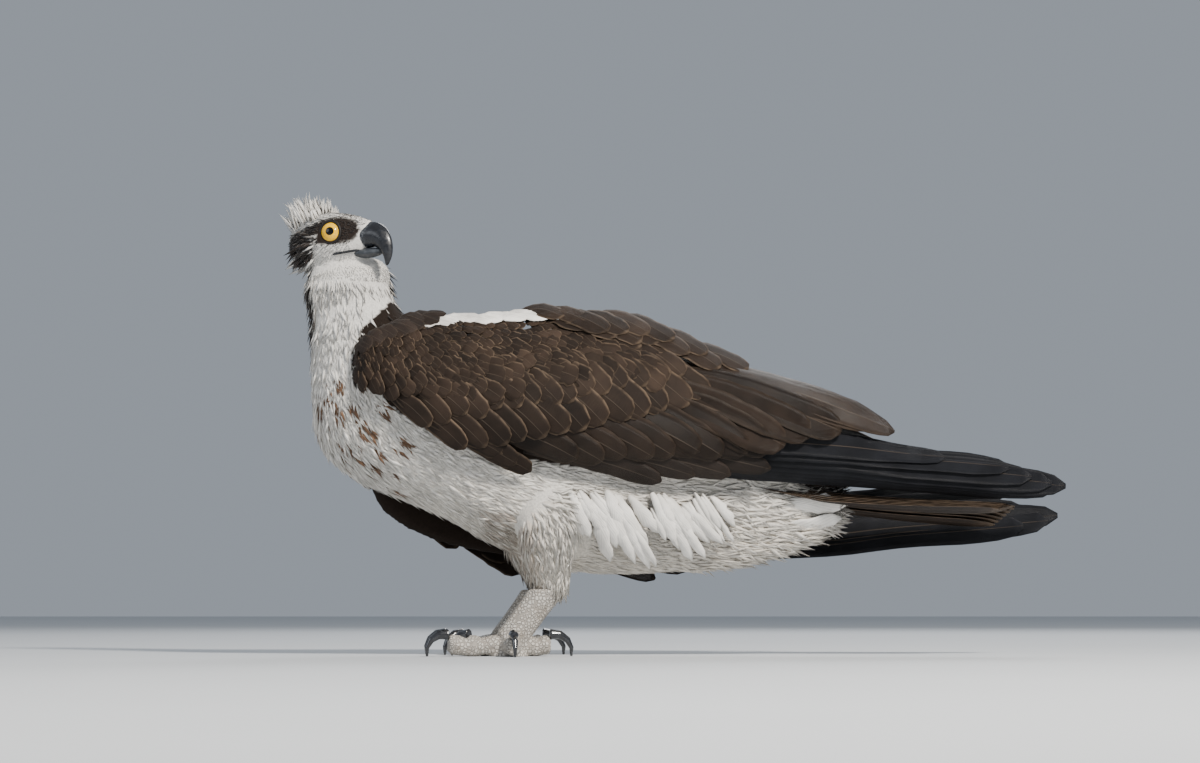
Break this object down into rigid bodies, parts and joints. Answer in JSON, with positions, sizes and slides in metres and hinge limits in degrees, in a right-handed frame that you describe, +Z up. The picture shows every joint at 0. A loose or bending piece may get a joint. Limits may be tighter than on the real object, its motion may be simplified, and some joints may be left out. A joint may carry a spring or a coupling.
{
  "type": "osprey",
  "caption": "Standing osprey with wings folded, neck raised and head turned back over its left side, on its own two feet; a still display model.",
  "frame": {"origin": "middle of the bird's length and width, on the floor it stands on", "axes": "+Z up; -X the way the breast faces and +X towards the tail; -Y the bird's left side"},
  "size_m": [0.5418, 0.1808, 0.3151],
  "materials": {
    "white_feathers": "matte soft feathers, white with rusty streaks on the breast",
    "head_feathers": "matte soft feathers, white with a dark brown eye stripe",
    "wing_feathers": "matte feathers, dark brown with thin tan edges",
    "flight_feathers": "satin feathers, near black",
    "tail_feathers": "matte feathers, brown with darker bars",
    "bill": "glossy horn, near black, with a blue-grey cere",
    "eye": "wet gloss, yellow iris with a black pupil",
    "foot_scales": "matte pale grey scales",
    "claws": "glossy black horn"
  },
  "bodies": {
    "root": {"torso": "white_feathers", "neck": "white_feathers", "vent": "white_feathers", "tail": "tail_feathers", "head": "head_feathers", "bill_upper": "bill", "bill_lower": "bill", "right_eye": "eye", "left_eye": "eye", "left_wing_arm": "wing_feathers", "left_wing_primaries": "flight_feathers", "left_shin": "white_feathers", "left_foot": "foot_scales", "left_toe_inner": "foot_scales", "left_claw_inner": "claws", "left_toe_middle": "foot_scales", "left_claw_middle": "claws", "left_toe_outer": "foot_scales", "left_claw_outer": "claws", "left_toe_hind": "foot_scales", "left_claw_hind": "claws", "right_wing_arm": "wing_feathers", "right_wing_primaries": "flight_feathers", "right_shin": "white_feathers", "right_foot": "foot_scales", "right_toe_inner": "foot_scales", "right_claw_inner": "claws", "right_toe_middle": "foot_scales", "right_claw_middle": "claws", "right_toe_outer": "foot_scales", "right_claw_outer": "claws", "right_toe_hind": "foot_scales", "right_claw_hind": "claws"}
  },
  "joints": []
}
